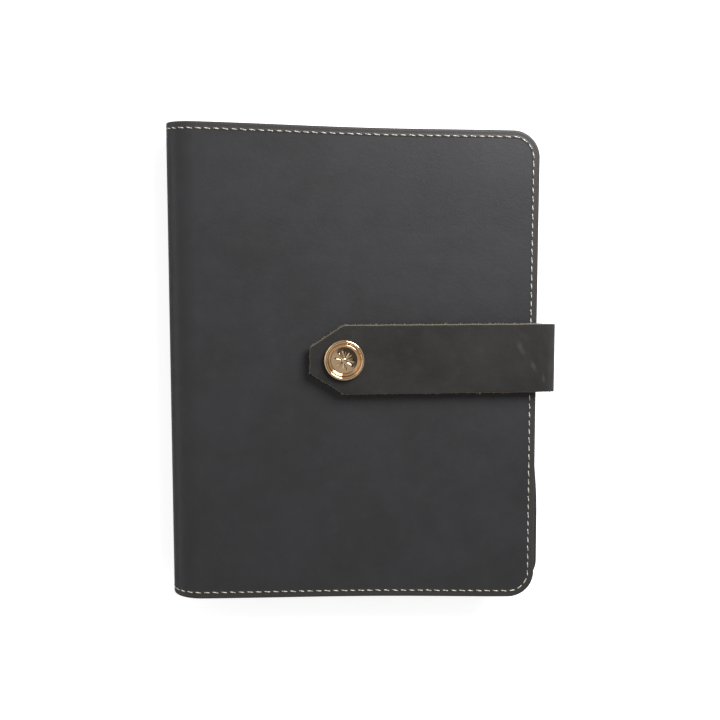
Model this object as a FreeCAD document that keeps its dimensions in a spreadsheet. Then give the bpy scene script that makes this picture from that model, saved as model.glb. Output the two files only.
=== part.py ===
"""Leather notebook cover with a wrap-over strap and a press snap.

The cover lies closed on its back. X runs from the rounded spine to the fore edge, Y is the height
of a page, and Z points up out of the front cover. The origin is the centre of the bounding box's
underside. The sketches measure X from the outermost line of the spine, and every body is then
moved by the same amount, so that the model is centred.
"""
import FreeCAD, Part
import math
import os

import Sketcher

DIMENSIONS = {
    # the cover, closed
    "cover_height": 230,
    "front_width": 179,
    "back_width": 183,
    "stack_thickness": 28,
    "corner_radius": 13,
    # its layers, from the outside in
    "leather_thickness": 2.0,
    "board_thickness": 1.2,
    "lining_thickness": 1.0,
    "board_margin": 7,
    "board_corner": 6,
    "sleeve_width": 66,
    "sleeve_gap": 2.2,
    "sleeve_thickness": 1.2,
    "seam_width": 5,
    # the thread
    "stitch_inset": 2.6,
    "thread_width": 0.7,
    "thread_height": 0.3,
    "groove_width": 1.2,
    "groove_depth": 0.5,
    # the strap
    "strap_width": 33.3,
    "strap_offset": 4.1,
    "strap_thickness": 2.5,
    "strap_lift": 3.5,
    "strap_tip": 67.3,
    "anchor_start": 69,
    "anchor_seam_inset": 3.5,
    "edge_clearance": 0.3,
    "lower_bend": 4,
    "upper_bend": 10,
    "clip_length": 16.3,
    "clip_width": 10.5,
    # half the slit that parts two pieces at a hinge line, as an angle of the bend in degrees
    "slit_half_angle": 2.0,
    # the snap
    "snap_from_spine": 83.7,
    "cap_radius": 9.75,
    "cap_height": 2.7,
    "shank_radius": 2.0,
    "rivet_play": 0.1,
    "flare_radius": 2.7,
    "flare_height": 0.4,
    "socket_radius": 6.3,
    "socket_height": 2.6,
    "socket_web": 0.5,
    "cavity_radius": 4.0,
    "lip_radius": 3.6,
    "ring_radius": 3.3,
    "ring_wire_radius": 0.35,
    "ring_depth": 1.88,
    "stud_flange_radius": 6.0,
    "stud_flange_height": 0.6,
    "stud_neck_radius": 2.6,
    "stud_neck_height": 1.9,
    "stud_head_radius": 3.1,
    "stud_height": 2.5,
    "post_radius": 1.5,
    "post_flange_height": 0.6,
    "post_board_hole": 6.6,
}

# each bend, of the spine and of the strap's two corners, turns about a hinge line in the middle
# of its quarter round, so half of the quarter belongs to the piece on either side
HALF_QUARTER = 45

# two points nearer than this, in mm, are one
TOUCHING = 1e-3

document = FreeCAD.newDocument("leather_notebook_cover")
sheet = document.addObject("Spreadsheet::Sheet", "Dimensions")
for line, (alias, value) in enumerate(DIMENSIONS.items(), start=1):
    sheet.set(f"A{line}", alias)
    sheet.set(f"B{line}", str(value))
    sheet.setAlias(f"B{line}", alias)
document.recompute()


class Size:
    """A size as a number and as the expression that gives it from the sheet."""

    def __init__(self, value, text):
        self.value = value
        self.text = text

    def joined(self, other, sign, value):
        return Size(value, f"({self.text} {sign} {other.text})")

    def __add__(self, other):
        other = as_size(other)
        return self.joined(other, "+", self.value + other.value)

    def __sub__(self, other):
        other = as_size(other)
        return self.joined(other, "-", self.value - other.value)

    def __mul__(self, other):
        other = as_size(other)
        return self.joined(other, "*", self.value * other.value)

    def __neg__(self):
        return Size(-self.value, f"(0 - {self.text})")

    def sine(self):
        return Size(math.sin(math.radians(self.value)), f"sin({self.text} * 1 deg)")

    def cosine(self):
        return Size(math.cos(math.radians(self.value)), f"cos({self.text} * 1 deg)")


def as_size(thing):
    return thing if isinstance(thing, Size) else Size(float(thing), repr(float(thing)))


def cell(alias):
    return Size(float(sheet.get(alias)), f"Dimensions.{alias}")


half_height = cell("cover_height") * 0.5
spine_radius = cell("stack_thickness") * 0.5
spine_middle = cell("strap_thickness") + spine_radius
slit = cell("slit_half_angle")
half_strap = cell("strap_thickness") * 0.5
lining_depth = cell("board_thickness") + cell("lining_thickness")
sleeve_depth = cell("sleeve_gap") + cell("sleeve_thickness")
lower_bend_x = cell("back_width") + cell("edge_clearance")
riser_x = lower_bend_x + cell("lower_bend")
upper_bend_x = riser_x - cell("upper_bend")
front_face = cell("strap_thickness") + cell("stack_thickness")
tongue_underside = front_face + cell("strap_lift")
tongue_middle = tongue_underside + half_strap
lower_bend_z = half_strap + cell("lower_bend")
upper_bend_z = tongue_middle - cell("upper_bend")
centring = (cell("thread_height") - riser_x - half_strap) * 0.5

bodies = []


def new_body(name, beside=0):
    """An empty body that stands where the whole model is centred, moved beside it along Y."""
    body = document.addObject("PartDesign::Body", name)
    body.Label = name
    body.setExpression(".Placement.Base.x", centring.text)
    body.setExpression(".Placement.Base.y", as_size(beside).text)
    bodies.append(body)
    return body


def new_sketch(body, role, height=None):
    """A sketch on one of the body's own planes, lifted by height."""
    sketch = body.newObject("Sketcher::SketchObject", f"{body.Name}_sketch")
    plane = next(one for one in body.Origin.OriginFeatures if one.Role == role)
    sketch.AttachmentSupport = [(plane, "")]
    sketch.MapMode = "FlatFace"
    if height is not None:
        sketch.setExpression(".AttachmentOffset.Base.z", height.text)
    return sketch


def line_to(x, y):
    return as_size(x), as_size(y), None


def arc_to(x, y, centre_x, centre_y, radius):
    return as_size(x), as_size(y), (as_size(centre_x), as_size(centre_y), as_size(radius))


def draw(sketch, path):
    """A closed outline through the ends of its lines and arcs, each dimensioned from the origin."""
    first = sketch.GeometryCount
    ends = []
    for step, (x, y, arc) in enumerate(path):
        before = path[step - 1]
        start = FreeCAD.Vector(before[0].value, before[1].value, 0)
        stop = FreeCAD.Vector(x.value, y.value, 0)
        if arc is None:
            sketch.addGeometry(Part.LineSegment(start, stop), False)
            ends.append((1, 2))
            continue
        centre = FreeCAD.Vector(arc[0].value, arc[1].value, 0)
        anticlockwise = (start - centre).cross(stop - centre).z > 0
        turn = [math.atan2(*((end - centre).y, (end - centre).x)) for end in (start, stop)]
        if not anticlockwise:
            turn.reverse()
        circle = Part.Circle(centre, FreeCAD.Vector(0, 0, 1), arc[2].value)
        sketch.addGeometry(Part.ArcOfCircle(circle, *turn), False)
        ends.append((1, 2) if anticlockwise else (2, 1))
    for step, (x, y, arc) in enumerate(path):
        here, after = first + step, first + (step + 1) % len(path)
        join = ("Coincident", here, ends[step][1], after, ends[(step + 1) % len(path)][0])
        sketch.addConstraint(Sketcher.Constraint(*join))
        for kind, size in (("DistanceX", x), ("DistanceY", y)):
            dimension(sketch, (kind, here, ends[step][1]), size)
        if arc is not None:
            dimension(sketch, ("Radius", here), arc[2])


def draw_circle(sketch, centre_x, centre_y, radius):
    centre_x, centre_y = as_size(centre_x), as_size(centre_y)
    centre = FreeCAD.Vector(centre_x.value, centre_y.value, 0)
    circle = Part.Circle(centre, FreeCAD.Vector(0, 0, 1), radius.value)
    number = sketch.addGeometry(circle, False)
    dimension(sketch, ("DistanceX", number, 3), centre_x)
    dimension(sketch, ("DistanceY", number, 3), centre_y)
    dimension(sketch, ("Radius", number), radius)


def dimension(sketch, what, size):
    number = sketch.addConstraint(Sketcher.Constraint(*what, size.value))
    sketch.setExpression(f"Constraints[{number}]", size.text)


def pad(body, sketch, length, symmetric=False):
    feature = body.newObject("PartDesign::Pad", f"{body.Name}_pad")
    feature.Profile = sketch
    feature.setExpression("Length", length.text)
    if symmetric:
        feature.SideType = "Symmetric"
    document.recompute()
    return feature


def pocket(body, sketch, depth):
    """Cuts down from the sketch, and makes sure that it took something away."""
    whole = body.Shape.Volume
    feature = body.newObject("PartDesign::Pocket", f"{body.Name}_pocket")
    feature.Profile = sketch
    feature.setExpression("Length", depth.text)
    document.recompute()
    if not body.Shape.Volume < whole:
        raise RuntimeError(f"{feature.Name} cuts nothing")
    return feature


def drill(body, top, depth, radius, across=0):
    """A round hole at the snap's distance from the spine, down from top."""
    sketch = new_sketch(body, "XY_Plane", top)
    draw_circle(sketch, cell("snap_from_spine"), across, radius)
    pocket(body, sketch, depth)


def round_fore_edge(body, width, half, radius):
    """Rounds the two upright edges at the fore-edge corners."""
    tip = body.Tip
    names = []
    for number, edge in enumerate(tip.Shape.Edges, start=1):
        box = edge.BoundBox
        upright = max(box.XLength, box.YLength) < TOUCHING
        spot = box.Center.x, abs(box.Center.y)
        if upright and math.dist(spot, (width.value, half.value)) < TOUCHING:
            names.append(f"Edge{number}")
    feature = body.newObject("PartDesign::Fillet", f"{body.Name}_corners")
    feature.Base = (tip, names)
    feature.setExpression("Radius", radius.text)
    document.recompute()
    return feature


def leaf(start, stop, half, radius):
    """An outline square at the spine side and rounded at the fore edge."""
    return [
        line_to(start, -half),
        line_to(stop - radius, -half),
        arc_to(stop, radius - half, stop - radius, radius - half, radius),
        line_to(stop, half - radius),
        arc_to(stop - radius, half, stop - radius, half - radius, radius),
        line_to(start, half),
    ]


def rectangle(start, stop, half):
    return [line_to(start, -half), line_to(stop, -half), line_to(stop, half), line_to(start, half)]


def spine_point(radius, turn):
    """A point of the half-round spine, turn degrees up from the back cover."""
    turn = as_size(turn)
    return spine_radius - radius * turn.sine(), spine_middle - radius * turn.cosine()


def panel_profile(face, outer, thickness, width, bulk=None):
    """Section of one layer of a cover: flat, with the nearest eighth of the spine's round.

    face is -1 on the back cover and 1 on the front cover, outer is the radius of the layer's
    outer side on the spine, and bulk its thickness where the board lies under it.
    """
    inner = outer - thickness
    end = as_size(HALF_QUARTER) - slit
    middle = spine_radius, spine_middle
    tips = [(spine_radius - r * end.sine(), spine_middle + r * end.cosine() * face)
            for r in (outer, inner)]
    low = spine_middle + outer * face
    path = [
        line_to(*tips[0]),
        arc_to(spine_radius, low, *middle, outer),
        line_to(width, low),
    ]
    if bulk is None:
        path += [line_to(width, spine_middle + inner * face)]
    else:
        thick = spine_middle + (outer - bulk) * face
        step = spine_radius + cell("board_margin") * 0.5
        path += [
            line_to(width, thick),
            line_to(step, thick),
            line_to(step, spine_middle + inner * face),
        ]
    path += [
        line_to(spine_radius, spine_middle + inner * face),
        arc_to(*tips[1], *middle, inner),
    ]
    return path


def top_of(face, outer_side, depth):
    """The upper side of a layer that starts outer_side in from a cover's outer face."""
    if face < 0:
        return cell("strap_thickness") + outer_side + depth
    return front_face - outer_side


def build_cover(name, face, width):
    """The five layers of one cover, from the outside in, with the thread that sews them."""
    leather = cell("leather_thickness")
    height = cell("cover_height")

    skin = new_body(f"{name}_leather")
    sketch = new_sketch(skin, "XZ_Plane")
    draw(sketch, panel_profile(face, spine_radius, leather, width))
    pad(skin, sketch, height, symmetric=True)
    round_fore_edge(skin, width, half_height, cell("corner_radius"))

    board = new_body(f"{name}_board")
    margin = cell("board_margin")
    board_leaf = leaf(spine_radius + margin, width - margin, half_height - margin,
                      cell("board_corner"))
    board_top = top_of(face, leather, cell("board_thickness"))
    sketch = new_sketch(board, "XY_Plane", board_top - cell("board_thickness"))
    draw(sketch, board_leaf)
    pad(board, sketch, cell("board_thickness"))

    lining = new_body(f"{name}_lining")
    sketch = new_sketch(lining, "XZ_Plane")
    inside = spine_radius - leather
    draw(sketch, panel_profile(face, inside, cell("lining_thickness"), width, lining_depth))
    pad(lining, sketch, height, symmetric=True)
    round_fore_edge(lining, width, half_height, cell("corner_radius"))
    sketch = new_sketch(lining, "XY_Plane", board_top)
    draw(sketch, board_leaf)
    pocket(lining, sketch, cell("board_thickness"))

    sleeve = new_body(f"{name}_sleeve")
    sleeve_top = top_of(face, leather + lining_depth, sleeve_depth)
    gap_top = top_of(face, leather + lining_depth, cell("sleeve_gap"))
    seam = cell("seam_width")
    mouth = width - cell("sleeve_width")
    sketch = new_sketch(sleeve, "XY_Plane", sleeve_top - sleeve_depth)
    draw(sketch, leaf(mouth, width, half_height, cell("corner_radius")))
    pad(sleeve, sketch, sleeve_depth)
    sketch = new_sketch(sleeve, "XY_Plane", gap_top)
    draw(sketch, leaf(mouth - seam, width - seam, half_height - seam,
                      cell("corner_radius") - seam))
    pocket(sleeve, sketch, cell("sleeve_gap"))

    thread = new_body(f"{name}_stitching")
    inset = cell("stitch_inset") - cell("thread_width") * 0.5
    outside = spine_radius + cell("thread_height")
    sketch = new_sketch(thread, "XZ_Plane")
    draw(sketch, panel_profile(face, outside, cell("thread_height"), width - inset))
    pad(thread, sketch, (half_height - inset) * 2, symmetric=True)
    round_fore_edge(thread, width - inset, half_height - inset, cell("corner_radius") - inset)
    deep = inset + cell("thread_width")
    sketch = new_sketch(thread, "XY_Plane", spine_middle + cell("stack_thickness"))
    draw(sketch, leaf(-cell("corner_radius"), width - deep, half_height - deep,
                      cell("corner_radius") - deep))
    pocket(thread, sketch, cell("stack_thickness") * 2)
    return skin, board


def spine_profile(outer, thickness):
    """Section of one layer of the spine, between its two hinge lines."""
    low = as_size(HALF_QUARTER) + slit
    high = as_size(180 - HALF_QUARTER) - slit
    inner = outer - thickness
    middle = spine_radius, spine_middle
    return [
        line_to(*spine_point(outer, low)),
        arc_to(*spine_point(outer, high), *middle, outer),
        line_to(*spine_point(inner, high)),
        arc_to(*spine_point(inner, low), *middle, inner),
    ]


def build_spine():
    """The middle of the spine, with its leather, its lining and its thread."""
    layers = (
        ("leather", spine_radius, cell("leather_thickness")),
        ("lining", spine_radius - cell("leather_thickness"), cell("lining_thickness")),
    )
    for layer, outer, thickness in layers:
        body = new_body(f"spine_{layer}")
        sketch = new_sketch(body, "XZ_Plane")
        draw(sketch, spine_profile(outer, thickness))
        pad(body, sketch, cell("cover_height"), symmetric=True)
    # one run of thread by the head of the spine and one by its tail
    thread = new_body("spine_stitching")
    thread.AllowCompound = True
    inset = cell("stitch_inset") - cell("thread_width") * 0.5
    deep = inset + cell("thread_width")
    outside = spine_radius + cell("thread_height")
    sketch = new_sketch(thread, "XZ_Plane")
    draw(sketch, spine_profile(outside, cell("thread_height")))
    pad(thread, sketch, (half_height - inset) * 2, symmetric=True)
    sketch = new_sketch(thread, "XY_Plane", spine_middle + cell("stack_thickness"))
    draw(sketch, rectangle(-cell("corner_radius"), spine_radius, half_height - deep))
    pocket(thread, sketch, cell("stack_thickness") * 2)


def bend_point(bend, radius, turn):
    """A point of a bend of the strap, turn degrees on from lying flat under the back."""
    turn = as_size(turn)
    return bend[0] + radius * turn.sine(), bend[1] - radius * turn.cosine()


def build_strap():
    """The strap in three pieces, from where it is sewn to the back to the tongue with the snap."""
    lower = lower_bend_x, lower_bend_z
    upper = upper_bend_x, upper_bend_z
    low_out, low_in = cell("lower_bend") + half_strap, cell("lower_bend") - half_strap
    up_out, up_in = cell("upper_bend") + half_strap, cell("upper_bend") - half_strap
    low_hinge, high_hinge = as_size(HALF_QUARTER), as_size(180 - HALF_QUARTER)
    profiles = {
        "strap_anchor": [
            line_to(cell("anchor_start"), 0),
            line_to(lower_bend_x, 0),
            arc_to(*bend_point(lower, low_out, low_hinge - slit), *lower, low_out),
            line_to(*bend_point(lower, low_in, low_hinge - slit)),
            arc_to(lower_bend_x, cell("strap_thickness"), *lower, low_in),
            line_to(cell("anchor_start"), cell("strap_thickness")),
        ],
        "strap_riser": [
            line_to(*bend_point(lower, low_out, low_hinge + slit)),
            arc_to(riser_x + half_strap, lower_bend_z, *lower, low_out),
            line_to(riser_x + half_strap, upper_bend_z),
            arc_to(*bend_point(upper, up_out, high_hinge - slit), *upper, up_out),
            line_to(*bend_point(upper, up_in, high_hinge - slit)),
            arc_to(riser_x - half_strap, upper_bend_z, *upper, up_in),
            line_to(riser_x - half_strap, lower_bend_z),
            arc_to(*bend_point(lower, low_in, low_hinge + slit), *lower, low_in),
        ],
        "strap_tongue": [
            line_to(*bend_point(upper, up_out, high_hinge + slit)),
            arc_to(upper_bend_x, tongue_middle + half_strap, *upper, up_out),
            line_to(cell("strap_tip"), tongue_middle + half_strap),
            line_to(cell("strap_tip"), tongue_underside),
            line_to(upper_bend_x, tongue_underside),
            arc_to(*bend_point(upper, up_in, high_hinge + slit), *upper, up_in),
        ],
    }
    made = {}
    for name, profile in profiles.items():
        made[name] = new_body(name, cell("strap_offset"))
        sketch = new_sketch(made[name], "XZ_Plane")
        draw(sketch, profile)
        pad(made[name], sketch, cell("strap_width"), symmetric=True)

    # the tongue's two clipped corners and the hole for the cap's shank
    tongue = made["strap_tongue"]
    half = cell("strap_width") * 0.5
    tip = cell("strap_tip")
    sketch = new_sketch(tongue, "XY_Plane", tongue_middle + half_strap)
    for side in (-1, 1):
        draw(sketch, [
            line_to(tip, half * side),
            line_to(tip, (half - cell("clip_width")) * side),
            line_to(tip + cell("clip_length"), half * side),
        ])
    pocket(tongue, sketch, cell("strap_thickness"))
    shank_hole = cell("shank_radius") + cell("rivet_play")
    drill(tongue, tongue_middle + half_strap, cell("strap_thickness"), shank_hole)

    # the back cover's own seam runs on under the anchor, in a channel across its upper side
    sketch = new_sketch(made["strap_anchor"], "XY_Plane", cell("strap_thickness"))
    seam_x = cell("back_width") - cell("stitch_inset")
    beside = cell("groove_width") * 0.5
    draw(sketch, rectangle(seam_x - beside, seam_x + beside, cell("strap_width")))
    pocket(made["strap_anchor"], sketch, cell("groove_depth"))

    # the anchor's seam lies in a groove, so that the thread doesn't touch the table
    inset = cell("anchor_seam_inset")
    start, stop = cell("anchor_start") + inset, cell("back_width") - inset * 2
    seams = {}
    for what, room in (("groove", cell("groove_width")), ("thread", cell("thread_width"))):
        reach = room * 0.5
        seams[what] = [
            rectangle(start - reach, stop + reach, half - inset + reach),
            rectangle(start + reach, stop - reach, half - inset - reach),
        ]
    sketch = new_sketch(made["strap_anchor"], "XY_Plane", cell("groove_depth"))
    for loop in seams["groove"]:
        draw(sketch, loop)
    pocket(made["strap_anchor"], sketch, cell("groove_depth"))
    thread = new_body("strap_anchor_stitching", cell("strap_offset"))
    sketch = new_sketch(thread, "XY_Plane", cell("groove_depth") - cell("thread_height"))
    for loop in seams["thread"]:
        draw(sketch, loop)
    pad(thread, sketch, cell("thread_height"))


def turned(name, path, level):
    """A round piece on the snap's axis, from half of its section, with height 0 at level."""
    body = new_body(name, cell("strap_offset"))
    body.setExpression(".Placement.Base.x", (centring + cell("snap_from_spine")).text)
    body.setExpression(".Placement.Base.z", level.text)
    sketch = new_sketch(body, "XZ_Plane")
    draw(sketch, path)
    feature = body.newObject("PartDesign::Revolution", f"{name}_revolution")
    feature.Profile = sketch
    feature.ReferenceAxis = (sketch, ["V_Axis"])
    feature.Angle = 360
    document.recompute()
    return body


def build_snap():
    """The cap's shank is flared inside the socket, the post is flared inside the stud."""
    radius, height = cell("cap_radius"), cell("cap_height")
    shank, flare = cell("shank_radius"), cell("flare_radius")
    web = cell("socket_web")
    through = -(cell("strap_thickness") + web)
    bead = height * 0.4
    turned("snap_cap", [
        line_to(0, through - cell("flare_height")),
        line_to(flare, through - cell("flare_height")),
        line_to(flare, through),
        line_to(shank, through),
        line_to(shank, 0),
        line_to(radius - bead * 0.5, 0),
        line_to(radius, bead * 0.5),
        line_to(radius, height - bead),
        arc_to(radius - bead, height, radius - bead, height - bead, bead),
        arc_to(radius - bead * 2, height - bead, radius - bead, height - bead, bead),
        line_to(radius * 0.76, height - bead),
        line_to(radius * 0.74, height - bead * 0.4),
        line_to(radius * 0.69, height - bead * 0.4),
        line_to(radius * 0.66, height - bead * 0.9),
        line_to(0, height - bead * 0.9),
    ], tongue_middle + half_strap)

    cavity, lip = cell("cavity_radius"), cell("lip_radius")
    low, outside = -cell("socket_height"), cell("socket_radius")
    turned("snap_socket", [
        line_to(shank + cell("rivet_play") * 0.5, 0),
        line_to(outside, 0),
        line_to(outside, low),
        line_to(lip, low),
        line_to(lip, low + web * 0.7),
        line_to(cavity, low + web * 0.7),
        line_to(cavity, -web),
        line_to(shank + cell("rivet_play") * 0.5, -web),
    ], tongue_underside)

    ring = document.addObject("Part::Torus", "snap_ring_spring")
    ring.Label = "snap_ring_spring"
    ring.setExpression("Radius1", cell("ring_radius").text)
    ring.setExpression("Radius2", cell("ring_wire_radius").text)
    ring.setExpression(".Placement.Base.x", (centring + cell("snap_from_spine")).text)
    ring.setExpression(".Placement.Base.y", cell("strap_offset").text)
    ring.setExpression(".Placement.Base.z", (tongue_underside - cell("ring_depth")).text)
    bodies.append(ring)

    flange, base = cell("stud_flange_radius"), cell("stud_flange_height")
    neck, waist = cell("stud_neck_radius"), cell("stud_neck_height")
    head, top = cell("stud_head_radius"), cell("stud_height")
    bore = cell("post_radius") + cell("rivet_play") * 0.5
    turned("snap_stud", [
        line_to(bore, 0),
        line_to(flange, 0),
        line_to(flange, base),
        line_to(neck, base),
        line_to(neck, waist),
        line_to(head, waist + (head - neck) * 0.4),
        line_to(head - 0.3, top),
        line_to(0, top),
        line_to(0, waist),
        line_to(bore, waist),
    ], front_face)

    under = -cell("leather_thickness")
    turned("snap_stud_post", [
        line_to(0, under - cell("post_flange_height")),
        line_to(flange, under - cell("post_flange_height")),
        line_to(flange, under),
        line_to(cell("post_radius"), under),
        line_to(cell("post_radius"), waist - cell("rivet_play")),
        line_to(0, waist - cell("rivet_play")),
    ], front_face)


build_cover("back_cover", -1, cell("back_width"))
front_skin, front_board = build_cover("front_cover", 1, cell("front_width"))
leather_hole = cell("post_radius") + cell("rivet_play")
drill(front_skin, front_face, cell("leather_thickness"), leather_hole, cell("strap_offset"))
drill(front_board, front_face - cell("leather_thickness"), cell("board_thickness"),
      cell("post_board_hole"), cell("strap_offset"))
build_spine()
build_strap()
build_snap()
document.recompute()

for thing in document.Objects:
    if "Invalid" in thing.State or "Error" in thing.State:
        raise RuntimeError(f"{thing.Name} is {thing.State}")
for body in bodies:
    if body.Shape.isNull() or not body.Shape.isValid():
        raise RuntimeError(f"{body.Label} has no valid shape")

os.makedirs("parts", exist_ok=True)
for body in bodies:
    body.Shape.exportStep(f"parts/{body.Label}.step")
    print(f"{body.Label:26s} {len(body.Shape.Solids)} solid {body.Shape.Volume:10.1f} mm3")
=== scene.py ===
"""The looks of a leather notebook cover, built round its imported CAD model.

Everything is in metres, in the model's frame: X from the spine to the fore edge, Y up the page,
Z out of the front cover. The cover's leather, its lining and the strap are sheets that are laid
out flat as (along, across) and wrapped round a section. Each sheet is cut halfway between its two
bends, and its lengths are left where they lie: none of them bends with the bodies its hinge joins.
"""

import functools
import math
import random

import bpy
import numpy as np
from mathutils import Matrix, Vector


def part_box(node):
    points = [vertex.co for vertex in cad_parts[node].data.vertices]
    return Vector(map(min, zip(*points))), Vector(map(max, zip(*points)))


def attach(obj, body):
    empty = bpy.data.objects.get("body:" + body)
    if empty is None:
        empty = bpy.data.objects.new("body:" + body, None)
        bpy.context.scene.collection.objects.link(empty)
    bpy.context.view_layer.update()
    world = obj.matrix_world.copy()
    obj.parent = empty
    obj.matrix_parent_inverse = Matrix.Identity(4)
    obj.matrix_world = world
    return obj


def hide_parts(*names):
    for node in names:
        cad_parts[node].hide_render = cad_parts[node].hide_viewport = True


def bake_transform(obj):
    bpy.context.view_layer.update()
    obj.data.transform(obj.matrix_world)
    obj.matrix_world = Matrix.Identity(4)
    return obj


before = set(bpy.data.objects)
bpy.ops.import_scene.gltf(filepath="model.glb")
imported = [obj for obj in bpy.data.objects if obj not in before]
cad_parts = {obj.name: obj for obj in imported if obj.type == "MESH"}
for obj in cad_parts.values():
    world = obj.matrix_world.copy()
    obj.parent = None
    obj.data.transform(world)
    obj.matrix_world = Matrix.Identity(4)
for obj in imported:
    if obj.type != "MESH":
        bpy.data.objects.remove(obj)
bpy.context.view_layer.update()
MM = 0.001
dice = random.Random(7)


# ---------------------------------------------------------------- sizes from the frame
front_low, front_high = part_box("front_cover_leather")
back_low, back_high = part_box("back_cover_leather")
SPINE_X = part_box("spine_leather")[0].x
HEIGHT = front_high.y - front_low.y
TOP, BOTTOM = front_high.z, back_low.z
SPINE_R = (TOP - BOTTOM) / 2
SPINE_CX = SPINE_X + SPINE_R
FACE_X = (SPINE_X + front_high.x) / 2
board_low, board_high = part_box("back_cover_board")
LEATHER = board_low.z - BOTTOM
LINING_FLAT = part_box("back_cover_lining")[1].z - BOTTOM - LEATHER
LINING_BEND = LINING_FLAT - (board_high.z - board_low.z)
sleeve_low, sleeve_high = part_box("back_cover_sleeve")
SLEEVE_RAISED = sleeve_high.z - sleeve_low.z
SLEEVE_WIDTH = sleeve_high.x - sleeve_low.x
CORNER_R = 13 * MM
SEAM = 3.2 * MM  # from the cover's cut edge to its stitches

tongue_low, tongue_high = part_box("strap_tongue")
STRAP_WIDTH = tongue_high.y - tongue_low.y
RISER_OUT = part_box("strap_riser")[1].x
STRAP_TOP = tongue_high.z
STRAP = BOTTOM  # the cover lies on the strap's end, which lies on the table
STRAP_Y = (tongue_low.y + tongue_high.y) / 2
STRAP_TIP = tongue_low.x
ANCHOR_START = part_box("strap_anchor")[0].x
STRAP_CLEAR = 0.3 * MM
LOWER_R = RISER_OUT - back_high.x - STRAP_CLEAR
UPPER_R = 11.25 * MM
cap_low, cap_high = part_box("snap_cap")
SNAP_X = (cap_low.x + cap_high.x) / 2
CAP_R = (cap_high.x - cap_low.x) / 2
CAP_HEIGHT = cap_high.z - STRAP_TOP

COVER_CHAIN = ["back_cover", "spine", "front_cover"]
STRAP_CHAIN = ["back_cover", "strap_riser", "strap_tongue"]


# ---------------------------------------------------------------- camera
SENSOR_WIDTH, FOCAL_LENGTH = 36, 57.5  # in millimetres


def turn(axis, degrees):
    return Matrix.Rotation(math.radians(degrees), 4, axis)


def make_camera():
    """Nearly straight above. Its turns and place are fitted to the outline of the front."""
    seen_from = turn("Z", -0.63) @ turn("Y", 4.95) @ turn("X", 6.09) @ turn("Z", 1.19)
    placed = Matrix.Translation(Vector((-2.34, -3.36, -556.2)) * MM) @ seen_from
    face = Vector((FACE_X, 0, TOP))
    data = bpy.data.cameras.new("camera")
    data.sensor_width = SENSOR_WIDTH
    data.lens = FOCAL_LENGTH
    camera = bpy.data.objects.new("camera", data)
    bpy.context.scene.collection.objects.link(camera)
    camera.matrix_world = Matrix.Translation(face) @ placed.inverted()
    bpy.context.scene.camera = camera


# ---------------------------------------------------------------- sheets
class Section:
    """Straight runs and arcs in the XZ plane: where a sheet lies, from its first end to its last.

    Each run is (length, radius), and a straight one has radius 0.
    """

    def __init__(self, start, heading, runs):
        self.parts = []
        x, z = start
        angle = heading
        begin = 0.0
        for length, radius in runs:
            self.parts.append((begin, length, x, z, angle, radius))
            if radius:
                turned = length / radius
                cx, cz = x - radius * math.sin(angle), z + radius * math.cos(angle)
                angle += turned
                x, z = cx + radius * math.sin(angle), cz - radius * math.cos(angle)
            else:
                x, z = x + length * math.cos(angle), z + length * math.sin(angle)
            begin += length
        self.length = begin

    def point(self, along, depth=0.0):
        """(x, z) at a distance along the outer surface, depth inside it."""
        chosen = self.parts[0]
        for part in self.parts:
            if along >= part[0] - 1e-12:
                chosen = part
        begin, _, x, z, angle, radius = chosen
        ahead = along - begin
        if radius:
            cx, cz = x - radius * math.sin(angle), z + radius * math.cos(angle)
            now = angle + ahead / radius
            return cx + (radius - depth) * math.sin(now), cz - (radius - depth) * math.cos(now)
        return (x + ahead * math.cos(angle) - depth * math.sin(angle),
                z + ahead * math.sin(angle) + depth * math.cos(angle))


# The cover's section runs from the back's fore edge, round the spine, to the front's fore edge.
# It turns clockwise seen with X right and Z up, so it is laid out mirrored in X and turned back.
BACK_FLAT = back_high.x - SPINE_CX
FRONT_FLAT = front_high.x - SPINE_CX
ROUND = math.pi * SPINE_R
cover_mirrored = Section((-back_high.x, BOTTOM), 0.0,
                         [(BACK_FLAT, 0), (ROUND, SPINE_R), (FRONT_FLAT, 0)])
COVER_LENGTH = cover_mirrored.length
COVER_CUTS = [0, BACK_FLAT + ROUND / 2, COVER_LENGTH]


def cover_point(along, depth):
    x, z = cover_mirrored.point(along, depth)
    return -x, z


# The strap's section runs from the end that is sewn to the back, round the fore edge, to its tip.
LOWER_BEND, UPPER_BEND = LOWER_R * math.pi / 2, UPPER_R * math.pi / 2
RISE = (STRAP_TOP - UPPER_R) - LOWER_R
lower_start = (RISER_OUT - LOWER_R) - ANCHOR_START
riser_start = lower_start + LOWER_BEND
upper_start = riser_start + RISE
tongue_start = upper_start + UPPER_BEND
strap_section = Section((ANCHOR_START, 0.0), 0.0, [
    (lower_start, 0), (LOWER_BEND, LOWER_R), (RISE, 0), (UPPER_BEND, UPPER_R),
    ((RISER_OUT - UPPER_R) - STRAP_TIP, 0)])
STRAP_CUTS = [0, riser_start + RISE / 2, strap_section.length]


def spread(low, high, most):
    """Values from low to high, no further apart than most."""
    count = max(1, math.ceil((high - low) / most))
    return [low + (high - low) * step / count for step in range(count + 1)]


def near_edges(half, offsets, count):
    """Values from -half to half: the same number always, crowded at both ends."""
    reach = half - min(offsets[-1], half * 0.9)
    share = (half - reach) / offsets[-1]
    low = [-half + offset * share for offset in offsets[:-1]]
    middle = [-reach + 2 * reach * step / count for step in range(count + 1)]
    return low + middle + [-value for value in reversed(low)]


SHARP_FROM = math.radians(60)  # keeps a sheet's cut walls from shading its face


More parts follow.
